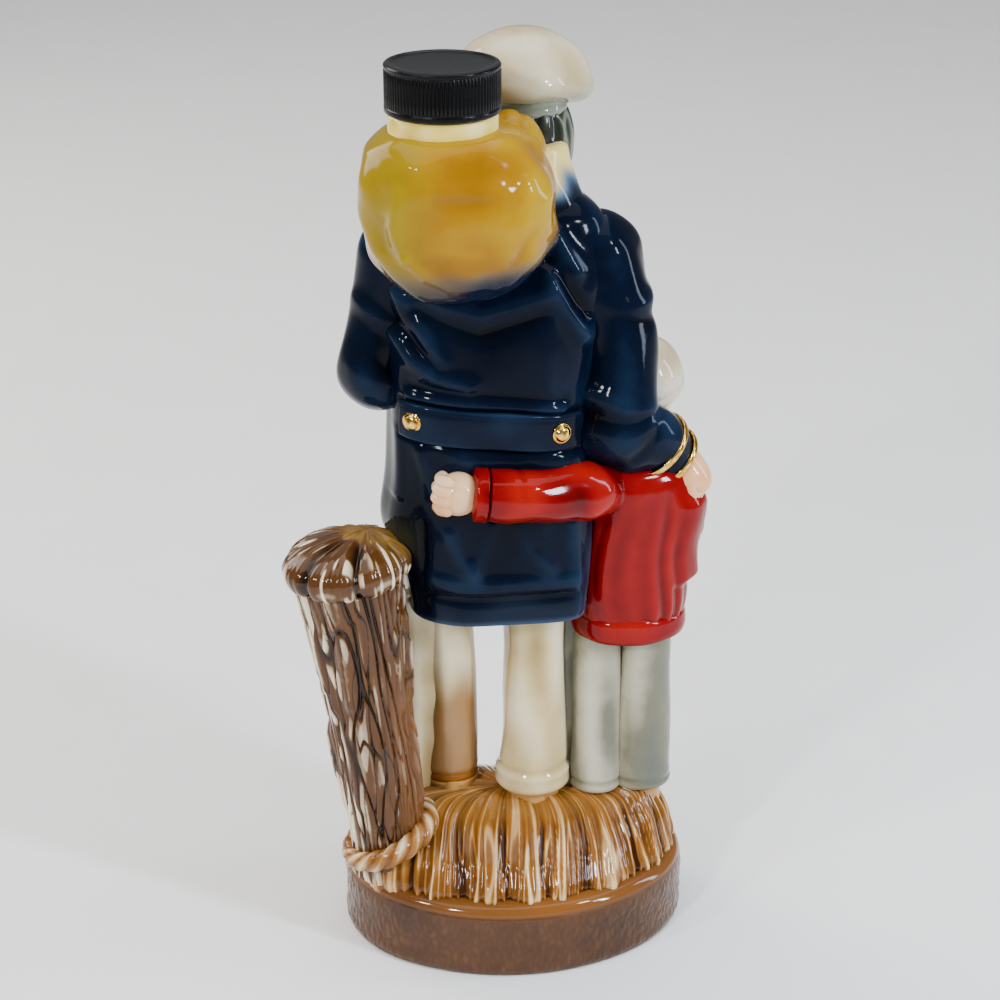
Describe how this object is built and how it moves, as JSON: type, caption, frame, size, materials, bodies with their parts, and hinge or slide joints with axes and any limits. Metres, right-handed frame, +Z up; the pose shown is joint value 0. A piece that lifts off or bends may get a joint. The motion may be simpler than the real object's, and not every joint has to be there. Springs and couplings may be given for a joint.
{
  "type": "figural liquor decanter",
  "caption": "Glazed ceramic figural decanter: an adult in a sea coat with a bag, a boy and a mooring post on an oval base; the bag's threaded neck takes a plastic screw cap.",
  "frame": {"origin": "centre of the oval base's underside, on the surface that it stands on", "axes": "+Z up, the figures face -Y, +X is the adult's left"},
  "size_m": [0.1483, 0.102, 0.3257],
  "materials": {
    "plinth_glaze": "brown glaze, glossy over a pebbled relief",
    "straw_glaze": "honey-gold glaze with dark grooves, glossy",
    "bark_glaze": "dark brown glaze thin on the ridges, glossy",
    "rope_glaze": "cream and brown glaze, glossy",
    "trouser_glaze": "cream glaze, glossy",
    "shoe_glaze": "black-brown glaze, glossy",
    "navy_glaze": "navy glaze, glossy",
    "gold_lustre": "gold lustre fired over the glaze, mirror gloss",
    "flesh_glaze": "flesh-coloured glaze, glossy",
    "hair_glaze": "dark grey-green glaze, glossy",
    "cap_glaze": "ivory glaze, glossy",
    "visor_glaze": "black glaze, glossy",
    "bag_glaze": "golden-yellow glaze fading to navy, glossy",
    "neck_glaze": "pale yellow glaze, glossy",
    "red_glaze": "bright red glaze, glossy",
    "boy_trouser_glaze": "grey-green glaze, glossy",
    "boy_shoe_glaze": "grey glaze, glossy",
    "black_plastic": "moulded, semi-gloss with worn edges",
    "liner_board": "faced pulp board"
  },
  "bodies": {
    "decanter": {"base_plinth": "plinth_glaze", "ground_mound": "straw_glaze", "mooring_post": "bark_glaze", "post_head": "bark_glaze", "post_web": "trouser_glaze", "mooring_rope": "rope_glaze", "captain_left_leg": "trouser_glaze", "captain_right_leg": "trouser_glaze", "captain_left_shoe": "shoe_glaze", "captain_right_shoe": "shoe_glaze", "captain_coat": "navy_glaze", "coat_half_belt": "navy_glaze", "coat_collar": "navy_glaze", "belt_buttons": "gold_lustre", "coat_front_buttons": "gold_lustre", "cuff_stripes": "gold_lustre", "captain_left_sleeve": "navy_glaze", "captain_right_sleeve": "navy_glaze", "captain_left_hand": "flesh_glaze", "captain_right_hand": "flesh_glaze", "captain_head": "flesh_glaze", "captain_hair": "hair_glaze", "captain_beard": "hair_glaze", "captain_cap_band": "cap_glaze", "captain_cap_crown": "cap_glaze", "captain_cap_visor": "visor_glaze", "sea_bag": "bag_glaze", "bag_fold": "bag_glaze", "bag_gather": "bag_glaze", "pouring_neck": "neck_glaze", "sweater_hem": "red_glaze", "boy_sweater": "red_glaze", "boy_left_sleeve": "red_glaze", "boy_left_cuff": "red_glaze", "boy_right_sleeve": "red_glaze", "boy_left_hand": "flesh_glaze", "boy_right_hand": "flesh_glaze", "boy_head": "flesh_glaze", "boy_cap": "cap_glaze", "boy_left_leg": "boy_trouser_glaze", "boy_right_leg": "boy_trouser_glaze", "boy_left_shoe": "boy_shoe_glaze", "boy_right_shoe": "boy_shoe_glaze"},
    "liner": {"cap_liner": "liner_board"},
    "closure": {"screw_cap": "black_plastic"}
  },
  "joints": [
    {"name": "cap_lift", "type": "slide", "parent": "decanter", "child": "liner", "axis": [0, 0, 1], "range_m": [0, 0.0191]},
    {"name": "cap_turn", "type": "hinge", "parent": "liner", "child": "closure", "pos_m": [0.026, 0.028, 0.3205], "axis": [0, 0, 1], "range_deg": [0, 2160]}
  ],
  "couplings": [
    {"joint": "cap_lift", "follows": "cap_turn", "m_per_rad": 0.00050532}
  ]
}
